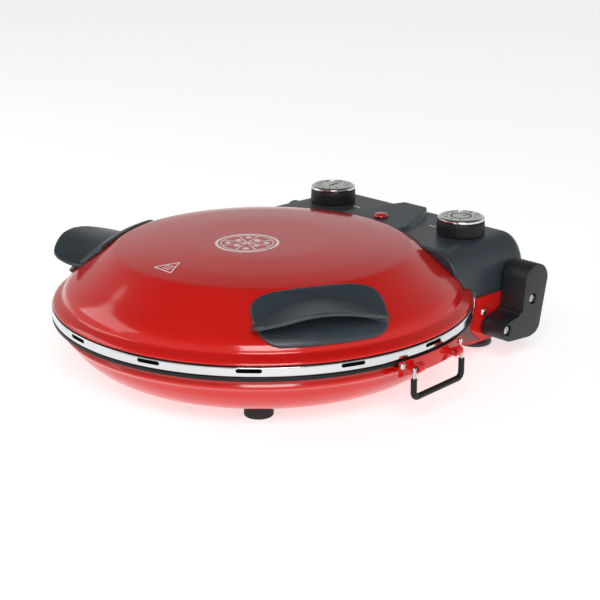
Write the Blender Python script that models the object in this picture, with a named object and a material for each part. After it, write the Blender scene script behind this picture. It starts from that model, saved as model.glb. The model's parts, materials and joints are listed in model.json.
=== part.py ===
"""Countertop pizza oven: a round clam-shell oven with a stone, a hinged lid and two carrying bails.

Metres, +Z up, the counter at z = 0. The front is -Y, and the hinge and the control housing are
at +Y. Everything is drawn in millimetres round the oven's own centre, then moved forwards so that
the origin is the middle of the whole appliance's footprint.
"""

import math

import bmesh
import bpy
from mathutils import Matrix, Vector

MM = 0.001
MOVE_TO_MIDDLE = -15.6
GAP = 0.4
ROUND = 48
SHEET = 1.5
LINER = 1.0

# Turned outlines as (radius, height). Each runs from the centre to the rim.
LID_LINE = [
    (0, 116.7), (60, 116.2), (100, 113.4), (118, 110.7), (126.5, 109.1), (133, 105.2), (140, 100.4), (150, 93),
    (158, 87.3), (164, 82.6), (168, 78.2), (169.8, 74.8), (170.8, 71.8), (173.5, 70.7), (176.5, 69.2),
    (178.4, 67.8), (179.2, 66.4), (179.2, 65.8),
]
LID_LINER_LINE = [(0, 97), (111, 95.4), (141, 82.6), (159.5, 68.2), (168.5, 67)]
BASE_LINE = [
    (0, 12), (118, 12), (134, 13.6), (146, 18), (156, 25), (164, 33.5), (169.5, 42), (172.4, 44.8),
    (172.4, 46.4), (171, 48), (172, 51.5), (162, 51.5),
]
BASE_LINER_LINE = [(0, 35), (146, 35), (151.5, 47.6), (160.4, 47.6), (161.6, 56.6), (176, 56.6)]
LID_PACKING_RADIUS = 150

BAND_RADIUS = 180
BAND_BOTTOM = 57.3
BAND_TOP = 64.8
BAND_WALL = 1.2
SLOTS = 14
FIRST_SLOT = -45.4
SLOT_LENGTH = 20
SLOT_HEIGHT = 3.2
SLOT_HEIGHT_ABOVE_COUNTER = 62.2
SEAL_LINE = [
    (164, 51.9), (176.2, 51.9), (176.2, 53.9), (180.2, 53.9), (180.2, 56.9), (176.5, 56.9), (176.5, 56.2),
    (164, 56.2),
]

STONE_RADIUS = 158.3
STONE_BOTTOM = 49
STONE_THICKNESS = 11

ELEMENT_RADIUS = 3.2
LOWER_ELEMENT = {"ring": 108, "height": 41.5}
UPPER_ELEMENT = {"ring": 104, "height": 89}
TERMINAL_X = 13
LOWER_TERMINAL_END = 24
UPPER_TERMINAL_END = 166

PIVOT_Y = 180.5
PIVOT_Z = 72
PIN_RADIUS = 4
PIN_START = 110
PIN_END = 146.5
BOSS_RADIUS = 16
HOUSING_END = 124.5
PLATE_X = (125.2, 127.2)
ARM_X = (127.5, 153.5)
ARM_TOP_RADIUS = 15
ARM_SCREWS = [(176.2, 56.6), (143.5, 35.1)]
BRACKET_Z = (20, 22)
BRACKET_RIVET = (141.5, 46.6)

HOUSING_TOP = 103
HOUSING_FRONT = 108
HOUSING_REAR = 205
HOUSING_BOTTOM = 74.5
HOUSING_WALL = 2.5
END_BLOCK_START = 107
END_BLOCK_BOTTOM = 56.6
SHOULDER_START = 98
SHOULDER_DROP = 25

KNOB_X = 80
KNOB_Y = 163.8
KNOB_RADIUS = 21.4
KNOB_BOTTOM = 103.5
KNOB_TOP = 119.3
SHAFT_RADIUS = 3
LAMP_Y = 146

HANDLE_ANGLE = -24.2
HANDLE_PLATE = 3
# (radius on the lid, half angle, share of the thickness) down the handle plate, from its curved top edge to its foot.
PLATE_ROWS = [
    (127, 6, 0.45), (128.2, 10, 0.6), (130, 14, 0.8), (132.5, 17.2, 0.95), (136, 20, 1), (141, 21.6, 1), (150, 21.2, 1),
    (160, 19.2, 1), (165, 17.9, 1), (168, 16.3, 1), (169.4, 13.8, 0.85),
]
VISOR_ANGLES = (-44.6, -4.4)
# (angle, radius, height) along the visor's root on the lid and along its free lip.
VISOR_ROOT = [
    (-45.5, 153, 90.5), (-40, 145.5, 96), (-35.4, 139.9, 100.3), (-28.7, 136.8, 102.8), (-21.4, 137.2, 102.6),
    (-12.7, 142.2, 98.5), (-5, 155.5, 89), (-3.5, 158, 87.5),
]
VISOR_LIP = [
    (-45.5, 160, 91.5), (-44.3, 172, 94), (-42.5, 180, 97.5), (-40, 183, 100), (-36, 184.4, 103),
    (-32, 184.5, 106), (-27, 183.4, 107), (-20.5, 180.5, 104), (-13, 174.5, 97), (-8, 169, 91.5),
    (-5, 163, 88.5), (-3.5, 160, 87),
]

BAIL_ANGLE = 5
BAIL_RADIUS = 187.5
BAIL_Z = 51.5
BAIL_HALF_WIDTH = 31
BAIL_DROP = 24
BAIL_WIRE = 1.5
BAIL_SLEEVE = 2.5


# ---------------------------------------------------------------- helpers

def finish(name, colour, roughness, metallic=0.0):
    material = bpy.data.materials.new(name)
    material.use_nodes = True
    shader = material.node_tree.nodes["Principled BSDF"]
    shader.inputs["Base Color"].default_value = (*colour, 1)
    shader.inputs["Roughness"].default_value = roughness
    shader.inputs["Metallic"].default_value = metallic
    return material


def solid(name, points, faces, material=None):
    """A closed mesh from points in millimetres, with its faces turned outwards."""
    mesh = bpy.data.meshes.new(name)
    mesh.from_pydata([Vector(p) * MM for p in points], [], faces)
    shape = bmesh.new()
    shape.from_mesh(mesh)
    bmesh.ops.recalc_face_normals(shape, faces=shape.faces)
    shape.to_mesh(mesh)
    shape.free()
    mesh.shade_smooth()
    mesh.set_sharp_from_angle(angle=math.radians(35))
    piece = bpy.data.objects.new(name, mesh)
    if material:
        mesh.materials.append(material)
    bpy.context.collection.objects.link(piece)
    return piece


def turned(name, outline, material=None, centre=(0, 0, 0), axis="Z", segments=ROUND):
    """The closed outline of (radius, height) points turned about an axis through centre."""
    points, rings, faces = [], [], []
    for radius, height in outline:
        if radius == 0:
            rings.append([len(points)] * segments)
            points.append((0, 0, height))
            continue
        rings.append(list(range(len(points), len(points) + segments)))
        for step in range(segments):
            angle = 2 * math.pi * step / segments
            points.append((radius * math.cos(angle), radius * math.sin(angle), height))
    pairs = zip(rings, rings[1:] + rings[:1])
    for low, high in pairs:
        for step in range(segments):
            nxt = (step + 1) % segments
            corners = [low[step], low[nxt], high[nxt], high[step]]
            face = list(dict.fromkeys(corners))
            if len(face) > 2:
                faces.append(face)
    order = {"Z": (0, 1, 2), "X": (2, 0, 1), "Y": (0, 2, 1)}[axis]
    placed = [tuple(p[order[i]] + centre[i] for i in range(3)) for p in points]
    return solid(name, placed, faces, material)


def rod(name, radius, low, high, material=None, centre=(0, 0, 0), axis="Z", segments=16):
    outline = [(0, low), (radius, low), (radius, high), (0, high)]
    return turned(name, outline, material, centre, axis, segments)


def ring(name, inner, outer, low, high, material=None, centre=(0, 0, 0), axis="Z", segments=ROUND):
    outline = [(inner, low), (outer, low), (outer, high), (inner, high)]
    return turned(name, outline, material, centre, axis, segments)


def prism(name, outline, low, high, material=None, axis="Z"):
    """A flat outline extruded along an axis: (x, y) for Z, (y, z) for X."""
    count = len(outline)
    points = []
    for level in (low, high):
        for a, b in outline:
            points.append((a, b, level) if axis == "Z" else (level, a, b))
    faces = [list(range(count)), list(range(count, 2 * count))]
    for i in range(count):
        j = (i + 1) % count
        faces.append([i, j, count + j, count + i])
    return solid(name, points, faces, material)


def grid_solid(name, top, bottom, material=None):
    """A closed slab between two grids of points of the same size."""
    rows, columns = len(top), len(top[0])
    points = [p for grid in (top, bottom) for row in grid for p in row]
    at = lambda side, r, c: side * rows * columns + r * columns + c
    faces = []
    for side in (0, 1):
        for r in range(rows - 1):
            for c in range(columns - 1):
                faces.append([at(side, r, c), at(side, r, c + 1), at(side, r + 1, c + 1), at(side, r + 1, c)])
    border = [(0, c) for c in range(columns)] + [(r, columns - 1) for r in range(1, rows)]
    border += [(rows - 1, c) for c in range(columns - 2, -1, -1)] + [(r, 0) for r in range(rows - 2, 0, -1)]
    for (r, c), (s, d) in zip(border, border[1:] + border[:1]):
        faces.append([at(0, r, c), at(0, s, d), at(1, s, d), at(1, r, c)])
    return solid(name, points, faces, material)


def swept(name, path, radius, material=None, bore=0, sides=8):
    """A round bar along a path, or a tube where bore is above 0."""
    path = [Vector(p) for p in path]
    tangents = []
    for i, point in enumerate(path):
        before = path[max(i - 1, 0)]
        after = path[min(i + 1, len(path) - 1)]
        tangents.append((after - before).normalized())
    side = tangents[0].orthogonal().normalized()
    points, rings = [], []
    for point, tangent in zip(path, tangents):
        side = (side - tangent * side.dot(tangent)).normalized()
        up = tangent.cross(side)
        for size in (radius, bore) if bore else (radius,):
            rings.append(list(range(len(points), len(points) + sides)))
            for step in range(sides):
                angle = 2 * math.pi * step / sides
                points.append(point + side * size * math.cos(angle) + up * size * math.sin(angle))
    skins = [rings[0::2], rings[1::2]] if bore else [rings]
    faces = []
    for skin in skins:
        for low, high in zip(skin, skin[1:]):
            for step in range(sides):
                nxt = (step + 1) % sides
                faces.append([low[step], low[nxt], high[nxt], high[step]])
    for end in (0, -1):
        if bore:
            for step in range(sides):
                nxt = (step + 1) % sides
                faces.append([skins[0][end][step], skins[0][end][nxt], skins[1][end][nxt], skins[1][end][step]])
        else:
            faces.append(skins[0][end])
    return solid(name, points, faces, material)


def offset_line(line, distance):
    """The line moved to its left by a distance, with mitred corners. Points on the axis stay on it."""
    moved = []
    for i, (r, z) in enumerate(line):
        normals = []
        for a, b in ((i - 1, i), (i, i + 1)):
            if a >= 0 and b < len(line):
                dr, dz = line[b][0] - line[a][0], line[b][1] - line[a][1]
                size = math.hypot(dr, dz)
                normals.append((-dz / size, dr / size))
        nr = sum(n[0] for n in normals) / len(normals)
        nz = sum(n[1] for n in normals) / len(normals)
        scale = distance / (nr * nr + nz * nz)
        moved.append((r + nr * scale if r else 0, z + nz * scale))
    return moved


def pressed(name, line, thickness, material, segments=ROUND):
    """A turned sheet whose second face lies to the left of the line."""
    outline = line + offset_line(line, thickness)[::-1]
    return turned(name, outline, material, segments=segments)


def arc(centre, radius, start, end, steps):
    """Points on a circle, angles in degrees."""
    angles = [math.radians(start + (end - start) * i / steps) for i in range(steps + 1)]
    return [(centre[0] + radius * math.cos(a), centre[1] + radius * math.sin(a)) for a in angles]


def joined_mesh(name, pieces):
    """Several separate solids as one object, for use as one cutter."""
    shape = bmesh.new()
    for piece in pieces:
        shape.from_mesh(piece.data)
        bpy.data.objects.remove(piece)
    mesh = bpy.data.meshes.new(name)
    shape.to_mesh(mesh)
    shape.free()
    merged = bpy.data.objects.new(name, mesh)
    bpy.context.collection.objects.link(merged)
    return merged


def combine(piece, others, operation):
    """Applies one Boolean for each other object, then removes the others."""
    for other in others:
        modifier = piece.modifiers.new(operation, "BOOLEAN")
        modifier.operation = operation
        modifier.object = other
        modifier.solver = "EXACT"
        graph = bpy.context.evaluated_depsgraph_get()
        result = bpy.data.meshes.new_from_object(piece.evaluated_get(graph))
        piece.modifiers.clear()
        piece.data = result
        bpy.data.objects.remove(other)
    return piece


def cut(piece, *cutters):
    return combine(piece, cutters, "DIFFERENCE")


def weld(piece, *others):
    return combine(piece, others, "UNION")


def mirrored(piece, name):
    """The same piece on the left-hand side."""
    copy = bpy.data.objects.new(name, piece.data.copy())
    copy.data.transform(Matrix.Scale(-1, 4, (1, 0, 0)))
    copy.data.flip_normals()
    bpy.context.collection.objects.link(copy)
    return copy


def pair(piece):
    """The right-hand piece, renamed, with its mirror image."""
    base = piece.name
    piece.name = base + "_right"
    return [piece, mirrored(piece, base + "_left")]


def body(name, location, pieces):
    """An empty on the joint's axis that carries the pieces of one moving body."""
    axis = bpy.data.objects.new(name, None)
    axis.location = Vector(location) * MM
    axis.empty_display_size = 0.03
    bpy.context.collection.objects.link(axis)
    for piece in pieces:
        piece.parent = axis
        piece.matrix_parent_inverse = Matrix.Translation(-axis.location)
    return axis


# ---------------------------------------------------------------- base

def make_seal(materials):
    return turned("rim_seal", SEAL_LINE, materials["black"])


def make_band(materials):
    foot = BAND_RADIUS - 3.4
    outline = [
        (foot, BAND_BOTTOM), (BAND_RADIUS, BAND_BOTTOM), (BAND_RADIUS + 0.3, 61), (BAND_RADIUS, BAND_TOP),
        (BAND_RADIUS - BAND_WALL, BAND_TOP), (BAND_RADIUS - BAND_WALL, BAND_BOTTOM + BAND_WALL),
        (foot, BAND_BOTTOM + BAND_WALL),
    ]
    band = turned("rim_band", outline, materials["chrome"])
    half = SLOT_HEIGHT / 2
    reach = SLOT_LENGTH / 2 - half
    outline = arc((reach, 0), half, -90, 90, 4) + arc((-reach, 0), half, 90, 270, 4)
    cutters = []
    for k in range(SLOTS):
        cutter = prism("slot", outline, BAND_RADIUS - 4, BAND_RADIUS + 4, axis="X")
        angle = math.radians(FIRST_SLOT + 360 * k / SLOTS)
        cutter.data.transform(
            Matrix.Rotation(angle, 4, "Z") @ Matrix.Translation((0, 0, SLOT_HEIGHT_ABOVE_COUNTER * MM))
        )
        cutters.append(cutter)
    return cut(band, joined_mesh("slots", cutters))


def make_element(name, ring_radius, height, ends, materials):
    """One turn of tube with two parallel ends, which leave it downwards or to the rear."""
    start = math.degrees(math.asin(TERMINAL_X / ring_radius))
    steps = 36
    turn = []
    for i in range(steps + 1):
        angle = math.radians(90 - start - (360 - 2 * start) * i / steps)
        turn.append((ring_radius * math.cos(angle), ring_radius * math.sin(angle), height))
    first = [(turn[0][0], turn[0][1] + dy, height + dz) for dy, dz in ends]
    last = [(-x, y, z) for x, y, z in reversed(first)]
    return swept(name, first + turn[1:-1] + last, ELEMENT_RADIUS, materials["element"])


def make_spider(name, reach, low, high, materials):
    """A flat three-armed sheet that carries a heating element."""
    outline = []
    for k in range(3):
        angle = math.radians(30 + 120 * k)
        along = Vector((math.cos(angle), math.sin(angle)))
        across = Vector((-along.y, along.x))
        for step in (along * 10 - across * 6, along * reach - across * 6, along * reach + across * 6):
            outline.append(tuple(step))
        outline.append(tuple(along * 10 + across * 6))
    return prism(name, outline, low, high, materials["steel"])


def terminal_holes_down(radius):
    y = math.sqrt(LOWER_ELEMENT["ring"] ** 2 - TERMINAL_X**2)
    return [rod("hole", radius, 13.9, 45, centre=(side * TERMINAL_X, y, 0), segments=12) for side in (1, -1)]


def terminal_holes_back(radius):
    z = UPPER_ELEMENT["height"]
    return [
        rod("hole", radius, 112, 176, centre=(side * TERMINAL_X, 0, z), axis="Y", segments=12)
        for side in (1, -1)
    ]


def make_front_foot(materials):
    foot = turned(
        "front_foot",
        [(0, 0), (11.5, 0), (12, 0.8), (12, 11.6), (3, 11.6), (3, 16.5), (0, 16.5)],
        materials["rubber"], (82, -79, 0), segments=20,
    )
    return pair(foot)


def make_rear_foot(materials):
    foot = turned(
        "rear_foot",
        [(0, 0), (14.6, 0), (15.4, 1), (15.4, 4), (11, 10), (10.4, 19.6), (3, 19.6), (3, 25), (0, 25)],
        materials["grey"], (89, 177, 0), segments=20,
    )
    return pair(foot)


def foot_holes(x, y, low, high):
    return [rod("hole", 3.4, low, high, centre=(side * x, y, 0), segments=12) for side in (1, -1)]


def make_bracket(materials):
    """The folded sheet that carries a hinge arm and a rear foot."""
    low, high = BRACKET_Z
    flange = [(70, 151), (118, 118), (PLATE_X[1], 124.5), (PLATE_X[1], 194), (70, 194)]
    bracket = prism("hinge_bracket", flange, low, high, materials["red"])
    upright = [
        (127, 31), (127, 48.5), (129, 51), (132, 51.5), (132, 60), (170, 60), (173, 57), (189, 57), (189, low + 0.5),
        (140, low + 0.5), (137, high + 1),
    ]
    shell = turned("shell", [(0, 5), (BASE_LINE[5][0], 5), (BASE_LINE[5][0], 60), (0, 60)])
    weld(bracket, prism("upright", upright, *PLATE_X, axis="X"))
    y, z = BRACKET_RIVET
    holes = [
        rod("hole", 2.4, 120, 130, centre=(0, a, b), axis="X", segments=12)
        for a, b in ARM_SCREWS + [(y, z)]
    ]
    cut(bracket, shell, *holes, rod("hole", 3.4, 10, 30, centre=(89, 177, 0), segments=12))
    return pair(bracket)


def make_bracket_rivet(materials):
    y, z = BRACKET_RIVET
    low, high = PLATE_X
    outline = [
        (0, low - 0.2), (2, low - 0.2), (2, high + GAP), (3.4, high + GAP), (2.9, high + 1.6), (0, high + 2.2),
    ]
    return pair(turned("bracket_rivet", outline, materials["screw"], (0, y, z), "X", 12))


def make_arm(materials):
    """The L-shaped moulding whose top holds the hinge pin."""
    pivot = (PIVOT_Y, PIVOT_Z)
    outline = arc(pivot, ARM_TOP_RADIUS, 0, 180, 10)
    outline += [(161.2, 48.5), (158.5, 44.6), (150, 43.6), (143, 41.4), (138.6, 37), (138, 31.5)]
    outline += [(141, 26.5), (146, 24.4), (174, 22.6), (182, 24.6), (186.8, 30)]
    arm = prism("hinge_arm", outline, *ARM_X, materials["grey"], axis="X")
    cutters = [rod("pin", PIN_RADIUS + 0.3, 120, PIN_END + 0.5, centre=(0, *pivot), axis="X")]
    for y, z in ARM_SCREWS:
        stepped = [(0, 120), (2.4, 120), (2.4, 148.8), (4.6, 148.8), (4.6, 160), (0, 160)]
        cutters.append(turned("screw", stepped, None, (0, y, z), "X", 12))
    return pair(cut(arm, *cutters))


def make_arm_screws(materials):
    pieces = []
    for label, (y, z) in zip(("upper", "lower"), ARM_SCREWS):
        outline = [
            (0, PLATE_X[0] - 0.2), (2, PLATE_X[0] - 0.2), (2, 149.2), (3.9, 149.2), (3.9, 151.2), (2.6, 152.2),
            (0, 152.2),
        ]
        pieces += pair(turned(f"arm_screw_{label}", outline, materials["screw"], (0, y, z), "X", 12))
    return pieces


def make_pin(materials):
    pin = rod("hinge_pin", PIN_RADIUS, PIN_START, PIN_END, materials["steel"], (0, PIVOT_Y, PIVOT_Z), "X")
    collar = ring(
        "hinge_collar", PIN_RADIUS + 0.3, 12.5, HOUSING_END + GAP, ARM_X[0] - GAP, materials["black"],
        (0, PIVOT_Y, PIVOT_Z), "X", 24,
    )
    return pair(pin) + pair(collar)


def bail_frame():
    """Moves a shape drawn at the pivot, x outwards and y along the axis, to the right-hand bail."""
    turn = Matrix.Rotation(math.radians(BAIL_ANGLE), 4, "Z")
    return turn @ Matrix.Translation((BAIL_RADIUS * MM, 0, BAIL_Z * MM))


def make_bail(materials):
    """The wire bail with its black sleeve, and the strip with two knuckles that holds it."""
    half, drop, bend = BAIL_HALF_WIDTH, BAIL_DROP, 5
    corner = [(half - bend + bend * math.sin(a), -drop + bend - bend * math.cos(a)) for a in
              [math.radians(15 * k) for k in range(1, 6)]]
    right_leg = [(half - bend, -drop)] + corner + [(half, -drop + bend)]
    stub = [(half, -2.2), (half - 0.7, -0.7), (half - 2.2, 0), (20, 0)]
    wire_half = right_leg + stub
    path = [(0, -y, z) for y, z in reversed(wire_half)] + [(0, y, z) for y, z in wire_half]
    wire = swept("bail_wire", path, BAIL_WIRE, materials["steel"])
    sleeve_half = right_leg + [(half, -8)]
    path = [(0, -y, z) for y, z in reversed(sleeve_half)] + [(0, y, z) for y, z in sleeve_half]
    sleeve = swept("bail_sleeve", path, BAIL_SLEEVE, materials["black"], bore=BAIL_WIRE + 0.35)
    for piece in (wire, sleeve):
        piece.data.transform(bail_frame())
    return pair(wire) + pair(sleeve)


def make_bail_strip(materials):
    inner, outer, wall, shelf, top, bottom = 172.8, 182.6, 1.4, 51.3, 56.5, 44
    start, end = BAIL_ANGLE - 12, BAIL_ANGLE + 14
    steps = 10
    section = [
        (inner, shelf - wall), (outer - wall, shelf - wall), (outer - wall, bottom), (outer, bottom),
        (outer, top), (outer - wall, top), (outer - wall, shelf), (inner, shelf),
    ]
    points = []
    for k in range(steps + 1):
        angle = math.radians(start + (end - start) * k / steps)
        points += [(r * math.cos(angle), r * math.sin(angle), z) for r, z in section]
    count = len(section)
    faces = [list(range(count)), list(range(steps * count, (steps + 1) * count))]
    for k in range(steps):
        for i in range(count):
            j = (i + 1) % count
            faces.append([k * count + i, k * count + j, (k + 1) * count + j, (k + 1) * count + i])
    strip = solid("bail_strip", points, faces, materials["red"])
    holes = []
    for side in (1, -1):
        knuckle = rod("knuckle", 4, 21, 28, axis="Y", segments=14)
        web = prism("web", [(-7, -3.5), (0, -3.5), (0, 0), (-7, 0)], 21.5, 27.5, axis="Z")
        web.data.transform(Matrix.Rotation(math.radians(90), 4, "X") @ Matrix.Scale(-1, 4, (0, 0, 1)))
        web.data.flip_normals()
        hole = rod("hole", 2.2, 15, 34, axis="Y", segments=12)
        for piece in (knuckle, web, hole):
            shift = 0 if side == 1 else -49 * MM
            piece.data.transform(bail_frame() @ Matrix.Translation((0, shift, 0)))
        weld(strip, knuckle, web)
        holes.append(hole)
    cut(strip, *holes)
    return pair(strip)


def make_strip_rivets(materials):
    pieces = []
    for label, angle in (("front", BAIL_ANGLE - 11), ("rear", BAIL_ANGLE + 13)):
        outline = [(0, 183), (2.8, 183), (2.3, 184.2), (0, 184.8)]
        rivet = turned(f"strip_rivet_{label}", outline, materials["screw"], axis="X", segments=10)
        rivet.data.transform(
            Matrix.Rotation(math.radians(angle), 4, "Z") @ Matrix.Translation((0, 0, 53 * MM))
        )
        pieces += pair(rivet)
    return pieces


def make_base(materials):
    shell = cut(
        pressed("base_shell", BASE_LINE, SHEET, materials["red"]), *foot_holes(82, -79, 10, 20),
    )
    liner = cut(
        pressed("base_reflector", BASE_LINER_LINE, LINER, materials["steel"], 40), *terminal_holes_down(4.6),
    )
    packing_line = [(0, 14.4), (117, 14.4), (132, 16.2), (143, 20.6), (148, 25), (148, 33.9), (0, 33.9)]
    packing = cut(
        turned("base_insulation", packing_line, materials["packing"], segments=32), *terminal_holes_down(6),
        *foot_holes(82, -79, 10, 20),
    )
    bevel = 1.3
    top = STONE_BOTTOM + STONE_THICKNESS
    stone_line = [
        (0, STONE_BOTTOM), (STONE_RADIUS - bevel, STONE_BOTTOM), (STONE_RADIUS, STONE_BOTTOM + bevel),
        (STONE_RADIUS, top - bevel), (STONE_RADIUS - bevel, top), (0, top),
    ]
    turned("pizza_stone", stone_line, materials["stone"])
    low = LOWER_TERMINAL_END - LOWER_ELEMENT["height"]
    make_element("lower_element", *LOWER_ELEMENT.values(), [(0, low), (0, -8), (0, -1.5)], materials)
    make_spider("lower_element_bracket", 113, 36.4, 37.8, materials)
    return [shell, liner, packing]


# ---------------------------------------------------------------- lid

def dome_cutter():
    """The space that the lid and the rim take up, with a gap round it."""
    line = offset_line(LID_LINE, GAP)
    outer = BAND_RADIUS + 3.2
    return turned("dome", line + [(outer, line[-1][1]), (outer, 40), (0, 40)])


def make_lid(materials):
    back = offset_line(LID_LINE, -SHEET)
    shell = turned("lid_shell", LID_LINE + back[::-1], materials["red"])
    cut(shell, *terminal_holes_back(5))
    liner = cut(
        pressed("lid_reflector", LID_LINER_LINE, LINER, materials["steel"], 40), *terminal_holes_back(4.6),
    )
    upper = [p for p in offset_line(LID_LINE, -SHEET - 0.8) if p[0] < LID_PACKING_RADIUS]
    lower = [p for p in offset_line(LID_LINER_LINE, LINER + 0.8) if p[0] < LID_PACKING_RADIUS]
    packing = cut(
        turned("lid_insulation", lower + upper[::-1], materials["packing"], segments=32),
        *terminal_holes_back(6),
    )
    reach = UPPER_TERMINAL_END - math.sqrt(UPPER_ELEMENT["ring"] ** 2 - TERMINAL_X**2)
    element = make_element(
        "upper_element", *UPPER_ELEMENT.values(), [(reach, 0), (8, 0), (1.5, 0)], materials,
    )
    spider = make_spider("upper_element_bracket", 109, 92.6, 93.6, materials)
    return [shell, liner, packing, element, spider]


def housing_section(x, inset=0.0, bottom=HOUSING_BOTTOM):
    """The (y, z) outline of the control housing at x, drawn in by inset."""
    along = max(abs(x) - SHOULDER_START, 0) / (HOUSING_END - SHOULDER_START)
    top = HOUSING_TOP - SHOULDER_DROP * (1 - math.sqrt(max(1 - along * along, 0))) - inset
    rear = HOUSING_REAR - 8.5 * along * along - inset
    round_off = min(9 - inset, top - HOUSING_BOTTOM - 1)
    front = HOUSING_FRONT + inset
    corner = arc((rear - round_off, top - round_off), round_off, 0, 90, 4)
    return [(front, bottom), (rear, bottom), *corner, (front, top)]


def housing_loft(name, stations, material=None, inset=0.0, bottom=HOUSING_BOTTOM):
    sections = [[(x, y, z) for y, z in housing_section(x, inset, bottom)] for x in stations]
    count = len(sections[0])
    points = [p for section in sections for p in section]
    faces = [list(range(count)), list(range(len(points) - count, len(points)))]
    for s in range(len(stations) - 1):
        for i in range(count):
            j = (i + 1) % count
            faces.append([s * count + i, s * count + j, (s + 1) * count + j, (s + 1) * count + i])
    return solid(name, points, faces, material)


def both_ends(*distances):
    return [-d for d in reversed(distances)] + list(distances)


def make_housing(materials):
    """The control housing behind the dome: a cover with solid hinge ends, and its floor."""
    stations = both_ends(SHOULDER_START, 106, 113, 118.5, 122.5, HOUSING_END)
    cover = housing_loft("housing_cover", stations, materials["grey"])
    pivot = (PIVOT_Y, PIVOT_Z)
    below = [(HOUSING_FRONT + 4, END_BLOCK_BOTTOM)] + arc(pivot, BOSS_RADIUS, -106, -6, 8)
    below += [(PIVOT_Y + BOSS_RADIUS - 1, 78), (HOUSING_FRONT + 4, 78)]
    for side in (1, -1):
        low, high = sorted((side * END_BLOCK_START, side * (HOUSING_END - 0.3)))
        weld(cover, prism("end_block", below, low, high, axis="X"))
    front, back, rise = 142, 193.5, 3
    plan = [(39, 126), (39, front), (15, back), (-15, back), (-39, front), (-39, 126)]
    tongue_top = HOUSING_TOP + 3
    tongue = prism("tongue", plan, HOUSING_TOP - 1.5, tongue_top)
    for vertex in tongue.data.vertices:
        if vertex.co.z > (tongue_top - 1) * MM:
            vertex.co.z += rise * MM * (vertex.co.y / MM - front) / (back - front)
    weld(cover, tongue)
    hollow = housing_loft("hollow", both_ends(SHOULDER_START, END_BLOCK_START - HOUSING_WALL), None, HOUSING_WALL, 60)
    cutters = [hollow]
    for side in (1, -1):
        centre = (side * KNOB_X, KNOB_Y, 0)
        cutters.append(rod("shaft_hole", 5, 90, 110, centre=centre, segments=12))
        low, high = sorted((side * (PIN_START - 1), side * 130))
        cutters.append(rod("pin_hole", PIN_RADIUS + GAP, low, high, centre=(0, *pivot), axis="X"))
    cutters.append(rod("lamp_hole", 5, 90, 112, centre=(0, LAMP_Y, 0), segments=16))
    cutters.append(rod("gland_hole", 6.6, 195, 210, centre=(0, 0, 88), axis="Y", segments=16))
    cut(cover, *cutters, dome_cutter())
    reach = END_BLOCK_START - HOUSING_WALL - GAP
    floor_plan = [(-reach, 140), (reach, 140), (reach, 198), (97, 202), (-97, 202), (-reach, 198)]
    floor = cut(prism("housing_floor", floor_plan, 75, 77, materials["grey"]), dome_cutter())
    return [cover, floor]


def make_controls(materials):
    """What the housing holds: the timer, the thermostat, the lamp, the wiring block and the inlet."""
    pieces = []
    for name, side in (("timer_unit", -1), ("thermostat_unit", 1)):
        centre = (side * KNOB_X, KNOB_Y, 0)
        outline = [(0, 85.5), (15, 85.5), (16.5, 87), (16.5, 98), (6, 98), (6, 99.6), (0, 99.6)]
        pieces.append(turned(name, outline, materials["brass"], centre, segments=20))
    lens_line = [
        (3.9, 101.5), (4.6, 101.5), (4.6, 106.6), (6.6, 106.6), (6.6, 107.6), (5, 108.9), (2.5, 109.6), (0, 109.8),
        (0, 108), (3.9, 107),
    ]
    pieces.append(turned("lamp_lens", lens_line, materials["lamp"], (0, LAMP_Y, 0), segments=20))
    pieces.append(rod("neon_lamp", 3.3, 101, 106.4, materials["glass"], (0, LAMP_Y, 0), segments=12))
    pieces.append(prism("terminal_block", [(20, 184), (52, 184), (52, 197), (20, 197)], 78, 90, materials["packing"]))
    pieces.append(rod("thermal_fuse", 3, -52, -26, materials["steel"], (0, 190, 83), "X", 12))
    gland_line = [(3.6, 197), (6, 197), (6, 205.5), (9, 205.5), (9, 207.5), (6.5, 211.5), (3.6, 211.5)]
    pieces.append(turned("cord_inlet", gland_line, materials["black"], (0, 0, 88), "Y", 16))
    return pieces


def surface_height(radius):
    """The height of the lid's outside at a radius."""
    for (r0, z0), (r1, z1) in zip(LID_LINE, LID_LINE[1:]):
        if r0 <= radius <= r1:
            return z0 + (z1 - z0) * (radius - r0) / (r1 - r0)
    return LID_LINE[-1][1]


def skirt_point(radius, lift):
    """A point lifted off the lid's skirt along its normal."""
    step = 2
    rise = surface_height(radius + step) - surface_height(radius - step)
    size = math.hypot(2 * step, rise)
    return radius - rise / size * lift, surface_height(radius) + 2 * step / size * lift


def polar(radius, angle, height):
    a = math.radians(angle)
    return (radius * math.cos(a), radius * math.sin(a), height)


def between(table, x):
    """The values after x in a table of rows that start with x, by straight lines between the rows."""
    for a, b in zip(table, table[1:]):
        if a[0] <= x <= b[0]:
            t = (x - a[0]) / (b[0] - a[0])
            return [p + (q - p) * t for p, q in zip(a[1:], b[1:])]
    return table[-1][1:]


def handle_grid(lift):
    """Points of the handle plate over the skirt, lift above the lid."""
    grid = []
    for radius, half, share in PLATE_ROWS:
        r, z = skirt_point(radius, lift * share if lift > 0 else lift)
        columns = 10
        steps = [-1 + 2 * c / columns for c in range(columns + 1)]
        grid.append([polar(r, HANDLE_ANGLE + half * t, z) for t in steps])
    return grid


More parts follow.
